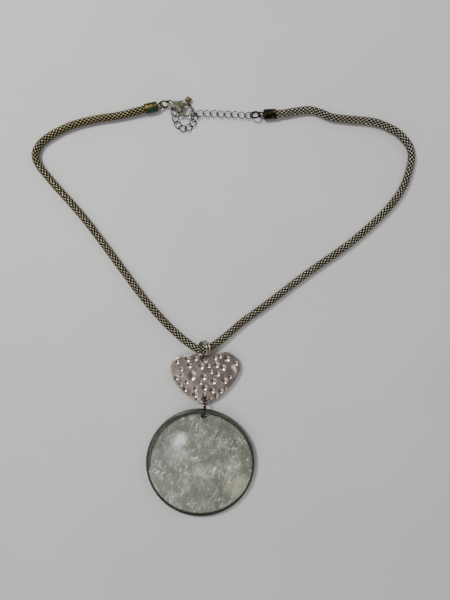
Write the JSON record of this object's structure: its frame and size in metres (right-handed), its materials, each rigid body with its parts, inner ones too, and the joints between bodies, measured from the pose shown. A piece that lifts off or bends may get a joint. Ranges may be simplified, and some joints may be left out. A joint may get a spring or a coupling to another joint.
{
  "type": "pendant necklace",
  "caption": "Pendant necklace: a loop of knitted wire mesh chain with crimped end caps, lobster clasp and extender chain, and a hammered heart carrying a round shell disc.",
  "frame": {"origin": "centre of the bottom of the box round the metal parts and the pendant, on the table the necklace lies on", "axes": "+X to the right across the loop, +Y up the loop from the pendant to the clasp, +Z away from the table"},
  "size_m": [0.1774, 0.1941, 0.0077],
  "materials": {
    "mesh": "knitted wire tube, tarnished",
    "bronze": "tarnished bronze plating with a little verdigris",
    "dark_metal": "dark antique plating",
    "silver": "worn antique silver",
    "hammered_silver": "hammered antique silver",
    "resin": "dark olive resin",
    "shell": "mother of pearl sheet",
    "clear_resin": "clear cast resin",
    "clasp_metal": "antique plating with green verdigris"
  },
  "bodies": {
    "necklace": {"mesh_chain": "mesh", "left_end_cap": "bronze", "left_cap_eye": "bronze", "right_end_cap": "bronze", "right_cap_eye": "bronze"},
    "left_ring": {"left_jump_ring": "dark_metal"},
    "clasp": {"clasp_body": "clasp_metal", "clasp_pivot_pin": "silver"},
    "lever": {"clasp_lever": "clasp_metal"},
    "right_ring": {"right_jump_ring": "dark_metal"},
    "front_8": {"front_link_8": "dark_metal"},
    "front_7": {"front_link_7": "dark_metal"},
    "front_6": {"front_link_6": "dark_metal"},
    "front_5": {"front_link_5": "dark_metal"},
    "front_4": {"front_link_4": "dark_metal"},
    "front_3": {"front_link_3": "dark_metal"},
    "front_2": {"front_link_2": "dark_metal"},
    "front_1": {"front_link_1": "dark_metal"},
    "engaged": {"engaged_link": "dark_metal"},
    "tail_1": {"tail_link_1": "dark_metal"},
    "tail_2": {"tail_link_2": "dark_metal"},
    "tail_3": {"tail_link_3": "dark_metal"},
    "tail_4": {"tail_link_4": "dark_metal"},
    "tail_5": {"tail_link_5": "dark_metal"},
    "tail_6": {"tail_link_6": "dark_metal"},
    "tail_7": {"tail_link_7": "dark_metal"},
    "tail_8": {"tail_link_8": "dark_metal"},
    "end_pin": {"head_pin": "dark_metal", "end_ball": "silver"},
    "bail_left": {"bail_ring_left": "silver"},
    "bail_right": {"bail_ring_right": "silver"},
    "heart": {"heart_plate": "hammered_silver"},
    "drop_ring": {"disc_ring": "dark_metal"},
    "shell_disc": {"disc_backing": "resin", "shell_inlay": "shell", "clear_dome": "clear_resin"}
  },
  "joints": [
    {"name": "left_ring_roll", "type": "hinge", "parent": "necklace", "child": "left_ring", "pos_m": [-0.02319, 0.09333, 0.0025], "axis": [0.968, -0.25, -0.02], "range_deg": [-4, 4]},
    {"name": "clasp_roll", "type": "hinge", "parent": "left_ring", "child": "clasp", "pos_m": [-0.01862, 0.09399, 0.0031], "axis": [0.968, -0.25, -0.02], "range_deg": [-2, 3]},
    {"name": "clasp_gate", "type": "hinge", "parent": "clasp", "child": "lever", "pos_m": [-0.01462, 0.09094, 0.00267], "axis": [0.114, -0.043, 0.9925], "range_deg": [0, 9], "stiffness_Nm_per_rad": 0.0004, "springref_deg": -28.65},
    {"name": "front_chain_sway", "type": "hinge", "parent": "necklace", "child": "right_ring", "pos_m": [0.02297, 0.08917, 0.0022], "axis": [0, 0, 1], "range_deg": [-5, 5]},
    {"name": "front_link_8_turn", "type": "hinge", "parent": "right_ring", "child": "front_8", "pos_m": [0.0191, 0.08903, 0.00152], "axis": [0, 0, 1], "range_deg": [-1.49, 1.49]},
    {"name": "front_link_7_turn", "type": "hinge", "parent": "front_8", "child": "front_7", "pos_m": [0.01595, 0.08914, 0.00141], "axis": [0, 0, 1], "range_deg": [-1.49, 1.49]},
    {"name": "front_link_6_turn", "type": "hinge", "parent": "front_7", "child": "front_6", "pos_m": [0.01274, 0.08936, 0.00141], "axis": [0, 0, 1], "range_deg": [-1.49, 1.49]},
    {"name": "front_link_5_turn", "type": "hinge", "parent": "front_6", "child": "front_5", "pos_m": [0.00953, 0.08958, 0.00141], "axis": [0, 0, 1], "range_deg": [-1.49, 1.49]},
    {"name": "front_link_4_turn", "type": "hinge", "parent": "front_5", "child": "front_4", "pos_m": [0.00631, 0.0897, 0.00141], "axis": [0, 0, 1], "range_deg": [-1.49, 1.49]},
    {"name": "front_link_3_turn", "type": "hinge", "parent": "front_4", "child": "front_3", "pos_m": [0.0031, 0.08987, 0.00141], "axis": [0, 0, 1], "range_deg": [-1.49, 1.49]},
    {"name": "front_link_2_turn", "type": "hinge", "parent": "front_3", "child": "front_2", "pos_m": [-0.00012, 0.08997, 0.00141], "axis": [0, 0, 1], "range_deg": [-1.49, 1.49]},
    {"name": "front_link_1_turn", "type": "hinge", "parent": "front_2", "child": "front_1", "pos_m": [-0.00333, 0.08992, 0.00157], "axis": [0, 0, 1], "range_deg": [-1.49, 1.49]},
    {"name": "engaged_link_turn", "type": "hinge", "parent": "front_1", "child": "engaged", "pos_m": [-0.0064, 0.0899, 0.0018], "axis": [0, 0, 1], "range_deg": [-5.49, 5.49]},
    {"name": "tail_link_1_turn", "type": "hinge", "parent": "engaged", "child": "tail_1", "pos_m": [-0.00726, 0.08995, 0.00108], "axis": [0, 0, 1], "range_deg": [-3, 3]},
    {"name": "tail_link_2_turn", "type": "hinge", "parent": "tail_1", "child": "tail_2", "pos_m": [-0.00747, 0.08696, 0.0009], "axis": [0, 0, -1], "range_deg": [-5, 5]},
    {"name": "tail_link_3_turn", "type": "hinge", "parent": "tail_2", "child": "tail_3", "pos_m": [-0.00888, 0.08431, 0.0009], "axis": [0, 0, 1], "range_deg": [-5, 5]},
    {"name": "tail_link_4_turn", "type": "hinge", "parent": "tail_3", "child": "tail_4", "pos_m": [-0.01155, 0.08295, 0.0009], "axis": [0, 0, -1], "range_deg": [-4, 5]},
    {"name": "tail_link_5_turn", "type": "hinge", "parent": "tail_4", "child": "tail_5", "pos_m": [-0.01445, 0.08372, 0.0009], "axis": [0, 0, 1], "range_deg": [-5, 5]},
    {"name": "tail_link_6_turn", "type": "hinge", "parent": "tail_5", "child": "tail_6", "pos_m": [-0.0159, 0.08635, 0.0009], "axis": [0, 0, -1], "range_deg": [-5, 5]},
    {"name": "tail_link_7_turn", "type": "hinge", "parent": "tail_6", "child": "tail_7", "pos_m": [-0.01648, 0.0893, 0.0009], "axis": [0, 0, 1], "range_deg": [-4, 4]},
    {"name": "tail_link_8_turn", "type": "hinge", "parent": "tail_7", "child": "tail_8", "pos_m": [-0.01705, 0.09224, 0.0009], "axis": [0, 0, -1], "range_deg": [-3, 3]},
    {"name": "end_pin_turn", "type": "hinge", "parent": "tail_8", "child": "end_pin", "pos_m": [-0.01648, 0.09519, 0.0009], "axis": [0, 0, 1], "range_deg": [-5, 5]},
    {"name": "bail_swing", "type": "hinge", "parent": "necklace", "child": "bail_left", "pos_m": [-0.0033, -0.01925, 0.003], "axis": [-1, 0, 0], "range_deg": [0, 75]},
    {"name": "bail_right_swing", "type": "hinge", "parent": "necklace", "child": "bail_right", "pos_m": [-0.0022, -0.01925, 0.003], "axis": [-1, 0, 0], "range_deg": [-1, 76]},
    {"name": "heart_swing", "type": "hinge", "parent": "bail_left", "child": "heart", "pos_m": [-0.0029, -0.023, 0.0032], "axis": [-1, 0, 0], "range_deg": [-15, 16]},
    {"name": "drop_ring_swing", "type": "hinge", "parent": "heart", "child": "drop_ring", "pos_m": [-0.0026, -0.042, 0.0029], "axis": [-1, 0, 0], "range_deg": [-20, 20]},
    {"name": "disc_swing", "type": "hinge", "parent": "drop_ring", "child": "shell_disc", "pos_m": [-0.00265, -0.04865, 0.0033], "axis": [-1, 0, 0], "range_deg": [-15, 9]}
  ],
  "couplings": [
    {"joint": "front_link_8_turn", "follows": "front_chain_sway", "ratio": -0.2573},
    {"joint": "front_link_7_turn", "follows": "front_chain_sway", "ratio": -0.2573},
    {"joint": "front_link_6_turn", "follows": "front_chain_sway", "ratio": -0.2573},
    {"joint": "front_link_5_turn", "follows": "front_chain_sway", "ratio": -0.2573},
    {"joint": "front_link_4_turn", "follows": "front_chain_sway", "ratio": -0.2573},
    {"joint": "front_link_3_turn", "follows": "front_chain_sway", "ratio": -0.2573},
    {"joint": "front_link_2_turn", "follows": "front_chain_sway", "ratio": -0.2573},
    {"joint": "front_link_1_turn", "follows": "front_chain_sway", "ratio": -0.2573},
    {"joint": "engaged_link_turn", "follows": "front_chain_sway", "ratio": 1.0584},
    {"joint": "bail_right_swing", "follows": "bail_swing", "ratio": 1}
  ]
}
